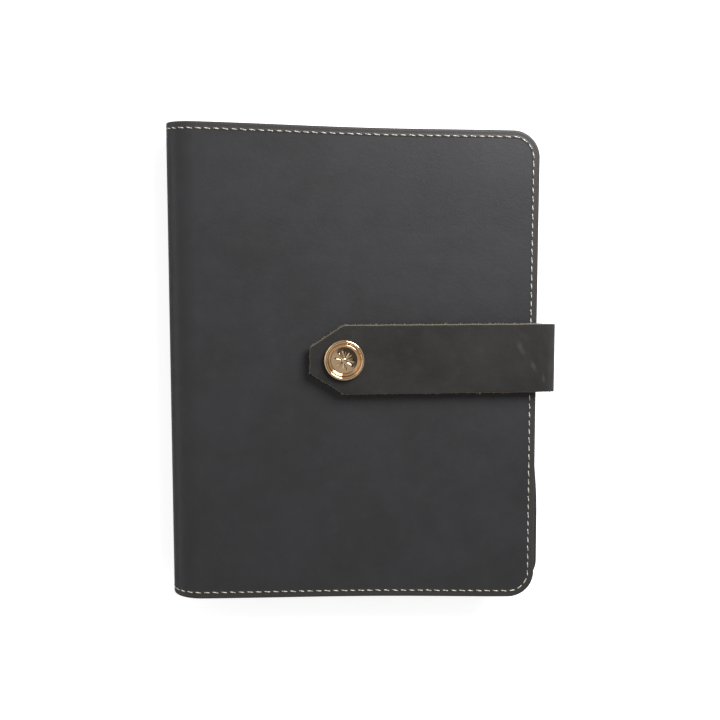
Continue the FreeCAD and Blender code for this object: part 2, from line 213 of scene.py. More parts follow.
def new_object(name, verts, faces, edge=None, flat=None):
    """A smooth-shaded mesh, for whose materials flat and edge say where each vert is.

    flat is the vert's place on the laid-out sheet, and edge its distance in from the cut edge.
    """
    mesh = bpy.data.meshes.new(name)
    mesh.from_pydata([tuple(v) for v in verts], [], faces)
    mesh.validate()
    if flat is not None:
        layer = mesh.uv_layers.new(name="flat")
        corner = np.zeros(len(mesh.loops), np.int32)
        mesh.loops.foreach_get("vertex_index", corner)
        layer.data.foreach_set("uv", np.asarray(flat, np.float32)[corner].ravel())
    if edge is not None:
        made = mesh.attributes.new("edge", "FLOAT", "POINT")
        made.data.foreach_set("value", np.asarray(edge, np.float32))
    mesh.shade_smooth()
    mesh.set_sharp_from_angle(angle=SHARP_FROM)
    made = bpy.data.objects.new(name, mesh)
    bpy.context.scene.collection.objects.link(made)
    return made


@functools.cache
def noise_waves(scale, seed):
    """Six sine waves at odd angles, each as (x factor, y factor, phase)."""
    waves = random.Random(seed)
    made = []
    for _ in range(6):
        angle, phase = waves.uniform(0, math.pi), waves.uniform(0, 2 * math.pi)
        pitch = 2 * math.pi / (scale * waves.uniform(0.7, 1.6))
        made.append((math.cos(angle) * pitch, math.sin(angle) * pitch, phase))
    return made


def smooth_noise(x, y, scale, seed):
    """From -1 to 1: the slow waviness of a hide."""
    return sum(math.sin(x * a + y * b + c) for a, b, c in noise_waves(scale, seed)) / 6


def sheet_piece(name, alongs, rows_at, place, outline_distance, thickness, edge_round, material):
    """A closed sheet: an outer and an inner side over one grid, joined round its border.

    rows_at(along) gives the values across; place(along, across, depth) gives the point;
    outline_distance(along, across) is the distance in from the cut edge.
    """
    outer, inner, flat, edge = [], [], [], []
    columns = len(alongs)
    for along in alongs:
        rows = rows_at(along)
        for across in rows:
            distance = outline_distance(along, across)
            outer_sink = round_sink(distance, edge_round)
            inner_sink = round_sink(distance, edge_round * 0.6)
            outer.append(place(along, across, outer_sink))
            inner.append(place(along, across, thickness(along) - inner_sink))
            flat.append((along, across))
            edge.append(distance)
    count = len(rows_at(alongs[0]))
    total = len(outer)
    faces = []
    for i in range(columns - 1):
        for j in range(count - 1):
            a, b = i * count + j, (i + 1) * count + j
            faces.append((a, a + 1, b + 1, b))
            faces.append((total + a, total + b, total + b + 1, total + a + 1))
    border = [i * count for i in range(columns)]
    border += [(columns - 1) * count + j for j in range(1, count)]
    border += [i * count + count - 1 for i in range(columns - 2, -1, -1)]
    border += [j for j in range(count - 2, 0, -1)]
    # the wall between the two sides
    for k, here in enumerate(border):
        after = border[(k + 1) % len(border)]
        faces.append((here, after, total + after, total + here))
    made = new_object(name, outer + inner, faces, edge + edge, flat + flat)
    made.data.materials.append(material)
    return made


def round_sink(distance, radius):
    """How far a rounded-over edge has fallen away at a distance from the edge."""
    if distance >= radius:
        return 0.0
    return radius - math.sqrt(max(0.0, radius * radius - (radius - distance) ** 2))


# ---------------------------------------------------------------- materials
class Nodes:
    """A short way to make and join the nodes of one material."""

    def __init__(self, name):
        self.material = bpy.data.materials.new(name)
        self.material.use_nodes = True
        self.tree = self.material.node_tree
        self.shader = self.tree.nodes["Principled BSDF"]

    def add(self, kind, inputs=None, **settings):
        node = self.tree.nodes.new(kind)
        for key, value in settings.items():
            setattr(node, key, value)
        for key, value in (inputs or {}).items():
            self.put(node.inputs[key], value)
        return node

    def put(self, socket, value):
        if isinstance(value, bpy.types.NodeSocket):
            self.tree.links.new(value, socket)
        else:
            socket.default_value = value

    def flat(self):
        return self.add("ShaderNodeUVMap", uv_map="flat").outputs["UV"]

    def attribute(self, name):
        return self.add("ShaderNodeAttribute", attribute_name=name).outputs["Fac"]

    def noise(self, vector, size, detail=4.0, rough=0.55, distortion=0.0):
        node = self.add("ShaderNodeTexNoise", {
            "Vector": vector, "Scale": 1 / size, "Detail": detail, "Roughness": rough,
            "Distortion": distortion})
        return node.outputs["Fac"]

    def cells(self, vector, size, feature="F1"):
        node = self.add("ShaderNodeTexVoronoi", {"Vector": vector, "Scale": 1 / size},
                        feature=feature)
        return node.outputs["Distance"]

    def ramp(self, value, low, high, to_low=0.0, to_high=1.0, smooth=True):
        node = self.add("ShaderNodeMapRange", {
            "Value": value, "From Min": low, "From Max": high, "To Min": to_low,
            "To Max": to_high}, interpolation_type="SMOOTHSTEP" if smooth else "LINEAR")
        return node.outputs["Result"]

    def maths(self, how, first, second=0.0):
        node = self.add("ShaderNodeMath", operation=how)
        self.put(node.inputs[0], first)
        self.put(node.inputs[1], second)
        return node.outputs[0]

    def mix(self, share, first, second):
        node = self.add("ShaderNodeMix", data_type="RGBA")
        self.put(node.inputs["Factor"], share)
        self.put(node.inputs[6], first)
        self.put(node.inputs[7], second)
        return node.outputs[2]

    def bump(self, height, distance, strength=1.0, normal=None):
        inputs = {"Height": height, "Distance": distance, "Strength": strength}
        if normal is not None:
            inputs["Normal"] = normal
        return self.add("ShaderNodeBump", inputs).outputs["Normal"]

    def finish(self, **sockets):
        for key, value in sockets.items():
            self.put(self.shader.inputs[key.replace("_", " ")], value)
        return self.material


SCUFF_STRETCH = 2.8  # how much longer a placed scuff is one way than the other


def leather_material(name, tone, deep, pale, edge_colour, seam=None, grain=0.35 * MM,
                     scuff=0.5, edge_reach=(0.25 * MM, 1.3 * MM), edge_share=0.75,
                     scuffed_spots=(), shine=0.42):
    """Smooth oiled leather: cloudy, finely pored, a little scuffed, with darker worked edges and
    painted shade along the stitch channel.
    """
    n = Nodes(name)
    flat = n.flat()
    clouds = n.noise(flat, 34 * MM, 5, 0.6, 0.4)
    blotch = n.noise(flat, 7 * MM, 4, 0.6)
    colour = n.mix(n.ramp(clouds, 0.34, 0.68), deep, tone)
    colour = n.mix(n.maths("MULTIPLY", n.ramp(blotch, 0.45, 0.8), 0.16), colour, pale)
    folds = n.noise(flat, 2.2 * MM, 5, 0.62, 0.6)
    # fine pale scratches, longer along the sheet than across it
    stretched = n.add("ShaderNodeMapping", {"Vector": flat, "Rotation": (0, 0, 0.5),
                                            "Scale": (0.35, 1.6, 1)}).outputs["Vector"]
    scratch = n.noise(stretched, 1.6 * MM, 6, 0.7, 1.2)
    scratch = n.maths("MULTIPLY", n.ramp(scratch, 0.62, 0.8), n.ramp(clouds, 0.5, 0.75))
    colour = n.mix(n.maths("MULTIPLY", scratch, scuff), colour, pale)
    for spot, lean, width in scuffed_spots:
        local = n.add("ShaderNodeMapping", {
            "Vector": flat, "Location": (*spot, 0), "Rotation": (0, 0, lean),
            "Scale": (1, SCUFF_STRETCH, 1)}, vector_type="TEXTURE").outputs["Vector"]
        away = n.add("ShaderNodeVectorMath", {0: local}, operation="LENGTH").outputs["Value"]
        ragged = n.maths("ADD", away, n.maths("MULTIPLY", folds, width))
        smudge = n.ramp(ragged, width * 0.45, width * 1.5, 0.6, 0)
        colour = n.mix(smudge, colour, pale)
    edge = n.attribute("edge")
    burnish = n.maths("MULTIPLY", n.ramp(edge, *edge_reach, 1, 0), edge_share)
    colour = n.mix(burnish, colour, edge_colour)
    pores = n.cells(flat, grain, "SMOOTH_F1")
    normal = n.bump(pores, 0.02 * MM, 0.5)
    normal = n.bump(folds, 0.13 * MM, 0.5, normal)
    if seam is not None:
        away = n.maths("ABSOLUTE", n.maths("SUBTRACT", edge, seam))
        channel = n.ramp(away, 0.0, 1.0 * MM, 0, 1)
        normal = n.bump(channel, 0.2 * MM, 0.6, normal)
        # painted shade: along the stitch channel the leather is darkened towards its deep tone
        shade = n.maths("MULTIPLY", n.ramp(away, 0.2 * MM, 0.9 * MM, 1, 0), 0.15)
        colour = n.mix(shade, colour, deep)
    roughness = n.ramp(n.noise(flat, 11 * MM, 4, 0.6), 0.3, 0.75, 0.46, 0.54)
    roughness = n.maths("ADD", roughness, n.maths("MULTIPLY", scratch, 0.1))
    # the gloss is turned down at a slant, where the spine and the strap's bend look dull
    slanting = n.add("ShaderNodeLayerWeight", {"Blend": 0.5}).outputs["Facing"]
    gloss = n.ramp(slanting, 0.12, 0.6, shine, 0.03)
    return n.finish(Base_Color=colour, Roughness=roughness, Normal=normal,
                    Specular_IOR_Level=gloss)


def thread_material():
    """Waxed cream thread: two plies whose twist shows as slanting ribs, with painted shade in the
    troughs between them.
    """
    n = Nodes("thread")
    flat = n.flat()
    twist = n.add("ShaderNodeMapping", {"Vector": flat, "Rotation": (0, 0, 0.75)}).outputs["Vector"]
    ribs = n.add("ShaderNodeTexWave", {"Vector": twist, "Scale": 0.16 / MM, "Distortion": 0.6},
                 wave_type="BANDS").outputs["Fac"]
    spots = n.noise(flat, 3 * MM, 3)
    # painted shade: the troughs between the plies are darkened, the crests left cream
    colour = n.mix(n.ramp(ribs, 0.0, 0.6), (0.42, 0.37, 0.29, 1), (0.76, 0.72, 0.62, 1))
    colour = n.mix(n.ramp(spots, 0.5, 0.8, 0, 0.35), colour, (0.5, 0.43, 0.32, 1))
    normal = n.bump(ribs, 0.08 * MM, 0.8)
    n.shader.inputs["Specular IOR Level"].default_value = 0.35
    return n.finish(Base_Color=colour, Roughness=0.6, Normal=normal)


def fibre_material():
    n = Nodes("raw_fibre")
    spots = n.noise(n.flat(), 1 * MM, 3)
    colour = n.mix(n.ramp(spots, 0.3, 0.7), (0.3, 0.25, 0.18, 1), (0.5, 0.43, 0.33, 1))
    return n.finish(Base_Color=colour, Roughness=0.8)


def metal_material(name, colour, deep, rough):
    """Plated metal with a faint haze of handling marks."""
    n = Nodes(name)
    place = n.add("ShaderNodeTexCoord").outputs["Object"]
    haze = n.noise(place, 3 * MM, 5, 0.6)
    fine = n.noise(place, 0.25 * MM, 3, 0.6)
    tint = n.mix(n.ramp(haze, 0.35, 0.7), colour, deep)
    roughness = n.ramp(haze, 0.3, 0.8, rough, rough * 1.25)
    normal = n.bump(fine, 0.0001 * MM, 0.5)
    n.shader.inputs["Metallic"].default_value = 1.0
    return n.finish(Base_Color=tint, Roughness=roughness, Normal=normal)


def board_material():
    n = Nodes("grey_board")
    place = n.add("ShaderNodeTexCoord").outputs["Object"]
    fibres = n.noise(place, 0.8 * MM, 6, 0.7, 0.5)
    colour = n.mix(n.ramp(fibres, 0.35, 0.7), (0.26, 0.23, 0.19, 1), (0.4, 0.36, 0.3, 1))
    return n.finish(Base_Color=colour, Roughness=0.9, Normal=n.bump(fibres, 0.1 * MM, 0.5))


# pale rubbed marks on the strap near its upper bend, each as ((along, across), lean, width)
STRAP_SCUFFS = (((tongue_start + 8 * MM, 5 * MM), math.radians(-27), 2.0 * MM),
                ((tongue_start + 1.5 * MM, -4 * MM), math.radians(-27), 1.6 * MM),
                ((upper_start + 14 * MM, -10 * MM), math.radians(-10), 1.2 * MM))
COVER_LEATHER = leather_material(
    "cover_leather", (0.0262, 0.0262, 0.0278, 1), (0.022, 0.022, 0.023, 1),
    (0.045, 0.045, 0.048, 1), (0.041, 0.035, 0.031, 1), seam=SEAM,
    edge_reach=(2.3 * MM, 3.9 * MM), edge_share=0.62)
STRAP_LEATHER = leather_material(
    "strap_leather", (0.0276, 0.0264, 0.0246, 1), (0.0188, 0.0179, 0.0166, 1),
    (0.062, 0.06, 0.057, 1), (0.23, 0.19, 0.14, 1), grain=0.4 * MM, scuff=0.8,
    edge_reach=(0.05 * MM, 0.32 * MM), edge_share=0.95, scuffed_spots=STRAP_SCUFFS,
    shine=0.27)
LINING_LEATHER = leather_material(
    "lining_leather", (0.034, 0.031, 0.029, 1), (0.025, 0.023, 0.022, 1), (0.07, 0.065, 0.06, 1),
    (0.05, 0.043, 0.037, 1), seam=SEAM, grain=0.6 * MM, scuff=0.4)
THREAD = thread_material()
FIBRE = fibre_material()
GOLD = metal_material("gold_plate", (0.93, 0.66, 0.39, 1), (0.87, 0.59, 0.34, 1), 0.04)
BRASS = metal_material("snap_brass", (0.72, 0.56, 0.3, 1), (0.6, 0.45, 0.24, 1), 0.28)
STEEL = metal_material("spring_steel", (0.6, 0.6, 0.6, 1), (0.5, 0.5, 0.52, 1), 0.25)
BOARD = board_material()


# ---------------------------------------------------------------- the cover's leather and lining
BOW_Y, BOW_X = 0.74 * MM, 0.33 * MM  # how far the head and tail, and the fore edges, are hollowed
BOW_X_REACH = 45 * MM
FALL = 0.0208  # the slope of the head and tail, which fall towards the fore edge
PEEK = 2.2 * MM  # how far the back cover's lower fore edge sticks out
PEEK_FROM, PEEK_FULL = 35 * MM, 75 * MM
HIDE_WAVE = 0.16 * MM
HIDE_WAVE_FROM_SPINE = 20 * MM
COVER_ROUNDED, LINING_ROUNDED, SLEEVE_ROUNDED = 0.9 * MM, 0.3 * MM, 0.35 * MM
LINING_STEP = 5 * MM  # over this length the lining thins towards the spine
# how far in from a cut edge the grid's rows stand, and how its columns stand round a corner
EDGE_OFFSETS = [o * MM for o in (0, 0.12, 0.35, 0.7, 1.1, 1.6, 2.1, 2.6, 3.1, 3.8, 5, 7.5, 11)]
CORNER_STEPS = 14
CORNER_OFFSETS = EDGE_OFFSETS + [
    CORNER_R * (1 - math.cos(math.pi / 2 * step / CORNER_STEPS)) for step in range(CORNER_STEPS + 1)]
SPINE_STEP = SPINE_R * math.radians(3)


def smoothstep(value, low, high):
    share = min(1.0, max(0.0, (value - low) / (high - low)))
    return share * share * (3 - 2 * share)


def from_fore_edge(along):
    return min(along, COVER_LENGTH - along)


def flat_length(along):
    return BACK_FLAT if along < COVER_LENGTH / 2 else FRONT_FLAT


def bow_at(along):
    """How far the head and the tail are hollowed at a distance along the cover."""
    return BOW_Y * math.sin(math.pi * min(1.0, from_fore_edge(along) / flat_length(along))) ** 2


def cover_rows(along):
    """Values across the cover at a distance along it, with its fore-edge corners rounded."""
    into = from_fore_edge(along)
    half = HEIGHT / 2 - bow_at(along)
    if into < CORNER_R:
        half -= CORNER_R - math.sqrt(max(0.0, CORNER_R ** 2 - (CORNER_R - into) ** 2))
    return near_edges(half, EDGE_OFFSETS, 24)


def cover_edge(along, across):
    """The distance in from the cover's cut edge."""
    into = from_fore_edge(along)
    up = HEIGHT / 2 - bow_at(along) - abs(across)
    if into < CORNER_R and up < CORNER_R:
        return max(0.0, CORNER_R - math.hypot(CORNER_R - into, CORNER_R - up))
    return max(0.0, min(into, up))


def cover_place(along, across, depth):
    """A point of the cover, with the bow of its edges and the slow waviness of the hide."""
    x, z = cover_point(along, depth)
    near = max(0.0, 1 - from_fore_edge(along) / BOW_X_REACH)
    x -= BOW_X * near * near * (1 - (2 * across / HEIGHT) ** 2)
    if along > COVER_LENGTH / 2:
        flat_share = min(1.0, max(0.0, (x - SPINE_CX) / HIDE_WAVE_FROM_SPINE))
        z += HIDE_WAVE * flat_share * smooth_noise(along, across, 85 * MM, 3)
    else:
        x += PEEK * near * smoothstep(-across, PEEK_FROM, PEEK_FULL)
    return x, across - FALL * (x - FACE_X), z


def cover_alongs(first, last):
    """Where the grid's columns stand between two cuts: close together at a fore edge and bend."""
    flat = BACK_FLAT if first == 0 else FRONT_FLAT
    fore_edge = CORNER_OFFSETS + spread(CORNER_R, flat, 6 * MM)
    if first == 0:
        values = fore_edge + spread(BACK_FLAT, last, SPINE_STEP)
    else:
        bend = spread(first, BACK_FLAT + ROUND, SPINE_STEP)
        values = bend + [last - value for value in fore_edge]
    return thinned(values, last)


def thinned(values, last):
    """The values in order, with those closer than a hair left out."""
    values = sorted(values)
    kept = [values[0]]
    for value in values[1:]:
        if value - kept[-1] > 0.05 * MM:
            kept.append(value)
    kept[-1] = last
    return kept


def bend_between(piece, chain, zone, start, end):
    """The piece is baked where it lies: it doesn't follow the bodies, and start and end are not used.
    """
    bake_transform(piece)


def cover_bend_ends(zone, depth):
    """Where the bend of a zone of the cover begins and ends, at a depth."""
    low = BACK_FLAT + ROUND * zone / 2
    return cover_point(low, depth), cover_point(low + ROUND / 2, depth)


def lining_place(along, across, depth):
    return cover_place(along, across, LEATHER + depth)


def lining_thickness(along):
    """Full over the board, and thin round the spine."""
    into = from_fore_edge(along)
    share = min(1.0, max(0.0, (flat_length(along) - into) / LINING_STEP))
    return LINING_BEND + (LINING_FLAT - LINING_BEND) * share


SLEEVE_LEATHER = 1.2 * MM
SLEEVE_RISE = SLEEVE_RAISED - SLEEVE_LEATHER
SLEEVE_SLACK = 0.15  # the share of the rise by which the sleeve is uneven
SLEEVE_DEPTH = LEATHER + LINING_FLAT


def sleeve_alongs(zone):
    """Where a sleeve's columns stand, from its fore edge to its mouth or the other way."""
    mouth = [SLEEVE_WIDTH - offset for offset in EDGE_OFFSETS[:6]]
    values = thinned(CORNER_OFFSETS + spread(CORNER_R, SLEEVE_WIDTH, 4 * MM) + mouth, SLEEVE_WIDTH)
    return [COVER_LENGTH - value for value in reversed(values)] if zone else values


def sleeve_place(along, across, depth):
    """Sewn down round three sides, and lifted off the lining towards its open mouth."""
    rise = SLEEVE_RISE * smoothstep(cover_edge(along, across), 4 * MM, 12 * MM)
    slack = SLEEVE_SLACK * smooth_noise(along, across, 60 * MM, 11)
    return cover_place(along, across, SLEEVE_DEPTH + rise * (1 + slack) + depth)


def sleeve_edge(along, across):
    return max(0.0, min(cover_edge(along, across), SLEEVE_WIDTH - from_fore_edge(along)))


for zone, side in enumerate(("back", "front")):
    alongs = cover_alongs(COVER_CUTS[zone], COVER_CUTS[zone + 1])
    piece = sheet_piece(f"leather_{side}", alongs, cover_rows, cover_place, cover_edge,
                        lambda along: LEATHER, COVER_ROUNDED, COVER_LEATHER)
    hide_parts(f"{side}_cover_leather", *(["spine_leather"] if zone else []))
    bend_between(piece, COVER_CHAIN, zone, *cover_bend_ends(zone, LEATHER / 2))

    piece = sheet_piece(f"lining_{side}", alongs, cover_rows, lining_place, cover_edge,
                        lining_thickness, LINING_ROUNDED, LINING_LEATHER)
    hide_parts(f"{side}_cover_lining", *(["spine_lining"] if zone else []))
    bend_between(piece, COVER_CHAIN, zone, *cover_bend_ends(zone, LEATHER + LINING_BEND / 2))

    piece = sheet_piece(f"sleeve_{side}", sleeve_alongs(zone), cover_rows, sleeve_place,
                        sleeve_edge, lambda along: SLEEVE_LEATHER, SLEEVE_ROUNDED,
                        LINING_LEATHER)
    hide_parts(f"{side}_cover_sleeve")
    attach(piece, f"{side}_cover")


# ---------------------------------------------------------------- the thread
STITCH_PITCH, STITCH_LENGTH = 4.2 * MM, 3.6 * MM
THREAD_R = 0.24 * MM
STITCH_SLANT = 7.5  # in degrees
STITCH_DIP = 0.32 * MM  # how deep a stitch's ends go into their holes
THREAD_LOBE = 0.13  # how far the two plies stand out of the thread's round
THREAD_TWIST = 4.0  # in radians, over half a stitch


def resampled(path, pitch):
    """Places a pitch apart along a closed path, each with the heading of the path there."""
    lengths = [math.dist(path[k], path[(k + 1) % len(path)]) for k in range(len(path))]
    count = round(sum(lengths) / pitch)
    step = sum(lengths) / count
    places, travelled, k = [], 0.0, 0
    for number in range(count):
        goal = (number + 0.5) * step
        while travelled + lengths[k] < goal:
            travelled += lengths[k]
            k += 1
        share = (goal - travelled) / lengths[k]
        (x0, y0), (x1, y1) = path[k], path[(k + 1) % len(path)]
        spot = x0 + (x1 - x0) * share, y0 + (y1 - y0) * share
        places.append((spot, math.atan2(y1 - y0, x1 - x0)))
    return places


def cover_seam_path():
    """The seam on the flat cover: a closed loop a little inside its cut edge."""
    radius = CORNER_R - SEAM
    at_front, at_back = COVER_LENGTH - CORNER_R, CORNER_R
    points = []
    quarter = -90
    for here, there, edge in ((at_front, at_back, 1), (at_back, at_front, -1)):
        for side in (-edge, edge):
            middle = side * (HEIGHT / 2 - CORNER_R)
            for step in range(11):
                angle = math.radians(quarter + 9 * step)
                points.append((here + radius * math.cos(angle), middle + radius * math.sin(angle)))
            quarter += 90
        # the head or the tail, hollowed as the leather is
        for step in range(1, 60):
            along = here + (there - here) * step / 60
            points.append((along, edge * (HEIGHT / 2 - bow_at(along) - SEAM)))
    return points


def stitches(name, places, place, level):
    """One mesh of short lengths of two-ply thread that dip into the leather at both ends.

    place(along, across, depth) gives a point and level(along, across) the depth of the surface.
    """
    verts, faces, flat = [], [], []
    rings, sides = 11, 8
    for (along, across), heading in places:
        # every stitch slants from upper left to lower right, whichever way its seam runs
        heading += math.radians(dice.uniform(-3, 3) - STITCH_SLANT * math.cos(2 * heading))
        length = STITCH_LENGTH * dice.uniform(0.94, 1.05)
        phase = dice.uniform(0, math.pi)
        ahead = math.cos(heading), math.sin(heading)
        base = len(verts)
        surface = level(along, across)
        for ring in range(rings):
            share = 2 * ring / (rings - 1) - 1
            full = math.sqrt(max(0.0, 1 - abs(share) ** 3))
            sunk = STITCH_DIP * share ** 4
            for side in range(sides):
                angle = 2 * math.pi * side / sides
                lobes = 1 + THREAD_LOBE * math.cos(2 * (angle - phase - THREAD_TWIST * share))
                off = THREAD_R * full * lobes * math.cos(angle)
                up = THREAD_R * 0.8 * full * lobes * math.sin(angle)
                a = along + ahead[0] * share * length / 2 - ahead[1] * off
                c = across + ahead[1] * share * length / 2 + ahead[0] * off
                verts.append(place(a, c, surface + sunk - up))
                flat.append((a, c))
        for ring in range(rings - 1):
            for side in range(sides):
                after = (side + 1) % sides
                low, high = base + ring * sides, base + (ring + 1) * sides
                faces.append((low + side, high + side, high + after, low + after))
        faces.append(tuple(base + side for side in range(sides)))
        faces.append(tuple(base + (rings - 1) * sides + side for side in reversed(range(sides))))
    made = new_object(name, verts, faces, flat=flat)
    made.data.materials.append(THREAD)
    return made


def inner_level(along, across):
    """The depth of the surface that the thread crosses on the inside of the cover."""
    if from_fore_edge(along) < SLEEVE_WIDTH:
        return SLEEVE_DEPTH + SLEEVE_LEATHER
    return LEATHER + lining_thickness(along)


cover_seam = resampled(cover_seam_path(), STITCH_PITCH)
for zone, side in enumerate(("back", "front")):
    mine = [one for one in cover_seam if COVER_CUTS[zone] <= one[0][0] < COVER_CUTS[zone + 1]]
    piece = stitches(f"stitches_{side}", mine, cover_place, lambda along, across: 0.0)
    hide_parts(f"{side}_cover_stitching", *(["spine_stitching"] if zone else []))
    bend_between(piece, COVER_CHAIN, zone, *cover_bend_ends(zone, 0))

    def turned_inside(along, across, depth):
        """The same seam seen from inside: what stands up there goes deeper from outside."""
        level = inner_level(along, across)
        return cover_place(along, across, 2 * level - depth)

    piece = stitches(f"inner_stitches_{side}", mine, turned_inside, inner_level)
    bend_between(piece, COVER_CHAIN, zone, *cover_bend_ends(zone, LEATHER + LINING_BEND))


# ---------------------------------------------------------------- the strap
CLIP_LENGTH, CLIP_WIDTH = 16.3 * MM, 10.5 * MM
STRAP_SEAM = 3.5 * MM
STRAP_LEAN = 2.4 * MM  # how much lower the strap is sewn on than it closes
STRAP_ROUNDED = 0.4 * MM
STRAP_OFFSETS = [o * MM for o in (0, 0.1, 0.25, 0.5, 0.9, 1.6, 2.4, 2.9, 3.2, 3.5, 3.8, 4.1, 4.8)]
ANCHOR_END = lower_start - 2 * MM  # the strap is sewn down from its first end to here
GROOVE, GROOVE_INNER, GROOVE_OUTER = 0.6 * MM, 0.2 * MM, 0.75 * MM
ANCHOR_THREAD_LEVEL = 0.45 * MM
RAGGED, RAGGED_FINE, RAGGED_TIP = 0.14 * MM, 0.05 * MM, 0.2 * MM
TONGUE_WAVE = 0.12 * MM


def strap_rows(along):
    """Values across the strap, which its clipped corners narrow towards the tip."""
    left = strap_section.length - along
    half = STRAP_WIDTH / 2
    if left < CLIP_LENGTH:
        half -= CLIP_WIDTH * (1 - left / CLIP_LENGTH)
    return near_edges(half, STRAP_OFFSETS, 8)


def strap_edge(along, across):
    """The distance in from the strap's cut edge."""
    left = strap_section.length - along
    slope = math.hypot(CLIP_LENGTH, CLIP_WIDTH)
    clipped = (left * CLIP_WIDTH + (STRAP_WIDTH / 2 - CLIP_WIDTH - abs(across)) * CLIP_LENGTH) / slope
    return max(0.0, min(along, left, STRAP_WIDTH / 2 - abs(across), clipped))


def strap_groove(along, across):
    """The depth of the groove that the anchor's seam lies in."""
    if along > lower_start:
        return 0.0
    away = abs(min(strap_edge(along, across), ANCHOR_END - along) - STRAP_SEAM)
    return GROOVE * (1 - smoothstep(away, GROOVE_INNER, GROOVE_OUTER))


def strap_place(along, across, depth):
    """A point of the strap: its cut sides are a little ragged, and its tongue isn't quite flat."""
    ragged = smoothstep(abs(across) / (STRAP_WIDTH / 2), 0.7, 1.0)
    side = 1 if across > 0 else -1
    across += side * ragged * RAGGED * smooth_noise(along, 5 * MM * side, 9 * MM, 5)
    across += side * ragged * RAGGED_FINE * smooth_noise(along, 3 * MM * side, 1.6 * MM, 8)
    near_tip = smoothstep(along, strap_section.length - 3 * MM, strap_section.length)
    along += near_tip * RAGGED_TIP * smooth_noise(across, 1 * MM, 3 * MM, 17)
    lean = STRAP_LEAN * (1 - smoothstep(along, riser_start, tongue_start))
    if along > tongue_start:
        depth -= TONGUE_WAVE * smooth_noise(along, across, 30 * MM, 21)
    x, z = strap_section.point(along, depth)
    return x, STRAP_Y + across - lean, z


def strap_grooved(along, across, depth):
    return strap_place(along, across, depth + strap_groove(along, across))


def strap_alongs(first, last):
    """Where the grid's columns stand: close together at the strap's ends and round its bends."""
    offsets = STRAP_OFFSETS
    bend = spread(max(first, lower_start), min(last, tongue_start), 0.45 * MM)
    if first == 0:
        seam_end = [ANCHOR_END - offset for offset in offsets[6:]]
        values = offsets + spread(5 * MM, lower_start, 2 * MM) + seam_end + bend
    else:
        flat = spread(tongue_start, last - 1.6 * MM, 0.8 * MM)
        values = bend + flat + [last - offset for offset in offsets[:6]]
    return thinned(values, last)


def bend_strap(piece, zone):
    """The piece is baked where it lies; the ends of its bend, the lower in zone 0 and the upper in
    zone 1, are passed on but not used.
    """
    bend = (upper_start, tongue_start) if zone else (lower_start, riser_start)
    low, high = (strap_section.point(along, STRAP / 2) for along in bend)
    bend_between(piece, STRAP_CHAIN, zone, low, high)


strap_cad = [["strap_anchor"], ["strap_riser", "strap_tongue"]]
for zone, side in enumerate(("back", "front")):
    alongs = strap_alongs(STRAP_CUTS[zone], STRAP_CUTS[zone + 1])
    piece = sheet_piece(f"strap_{side}", alongs, strap_rows, strap_grooved, strap_edge,
                        lambda along: STRAP, STRAP_ROUNDED, STRAP_LEATHER)
    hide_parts(*strap_cad[zone])
    bend_strap(piece, zone)

anchor_half = STRAP_WIDTH / 2 - STRAP_SEAM
anchor_stop = ANCHOR_END - STRAP_SEAM
anchor_path = [(STRAP_SEAM, -anchor_half), (anchor_stop, -anchor_half),
               (anchor_stop, anchor_half), (STRAP_SEAM, anchor_half)]
piece = stitches("stitches_anchor", resampled(anchor_path, STITCH_PITCH), strap_place,
                 lambda along, across: ANCHOR_THREAD_LEVEL)
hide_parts("strap_anchor_stitching")
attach(piece, "back_cover")


FIBRE_COUNT = 260
FIBRE_R = 0.14 * MM
SQUARE_TIP = 1 * MM  # fibres that start nearer the tip than this stand out of its end


def frayed_edge(count):
    """Short tan fibres that stand out of the strap's raw cut edge, thickest round its tip."""
    verts, faces = [], []
    rings, sides = 5, 3
    length_all = strap_section.length
    for _ in range(count):
        left = dice.uniform(0, 1) ** 1.6 * (length_all - riser_start)
        along, side = length_all - left, dice.choice((-1, 1))
        half = STRAP_WIDTH / 2 - max(0.0, CLIP_WIDTH * (1 - left / CLIP_LENGTH))
        across = side * half if left > SQUARE_TIP else dice.uniform(-half, half)
        out_along, out_across = (CLIP_WIDTH, CLIP_LENGTH) if left < CLIP_LENGTH else (0.0, 1.0)
        if left <= SQUARE_TIP:
            along, out_along, out_across = length_all, 1.0, 0.0
        norm = math.hypot(out_along, out_across)
        reach = dice.uniform(0.3, 1.0) * MM
        sway = dice.uniform(-0.8, 0.8)
        lift = dice.uniform(-0.4, 0.4)
        depth = dice.uniform(0.2, 0.9) * STRAP
        base = len(verts)
        for ring in range(rings):
            share = ring / (rings - 1)
            go = reach * (share - 0.25)
            a = along + go * (out_along / norm) + reach * sway * share * share * out_across / norm
            c = across + side * (go * out_across / norm)
            c -= side * reach * sway * share * share * out_along / norm
            thin = FIBRE_R * (1 - 0.8 * share)
            for corner in range(sides):
                angle = 2 * math.pi * corner / sides
                verts.append(strap_place(a + thin * math.cos(angle), c,
                                         depth + lift * reach * share + thin * math.sin(angle)))
        for ring in range(rings - 1):
            for corner in range(sides):
                after = (corner + 1) % sides
                low, high = base + ring * sides, base + (ring + 1) * sides
                faces.append((low + corner, high + corner, high + after, low + after))
        faces.append((base, base + 1, base + 2))
        last = base + (rings - 1) * sides
        faces.append((last + 2, last + 1, last))
    return new_object("strap_fibres", verts, faces, flat=[(v[0], v[1]) for v in verts])


fibres = frayed_edge(FIBRE_COUNT)
fibres.data.materials.append(FIBRE)
bend_strap(fibres, 1)


# ---------------------------------------------------------------- the snap
SHANK_R, FLARE_R, FLARE = 2.0 * MM, 2.7 * MM, 0.35 * MM
BEAD_R = CAP_R * 0.09
DISC_SHARE, DISC_DROP = 0.675, 0.48  # of the cap's radius and height


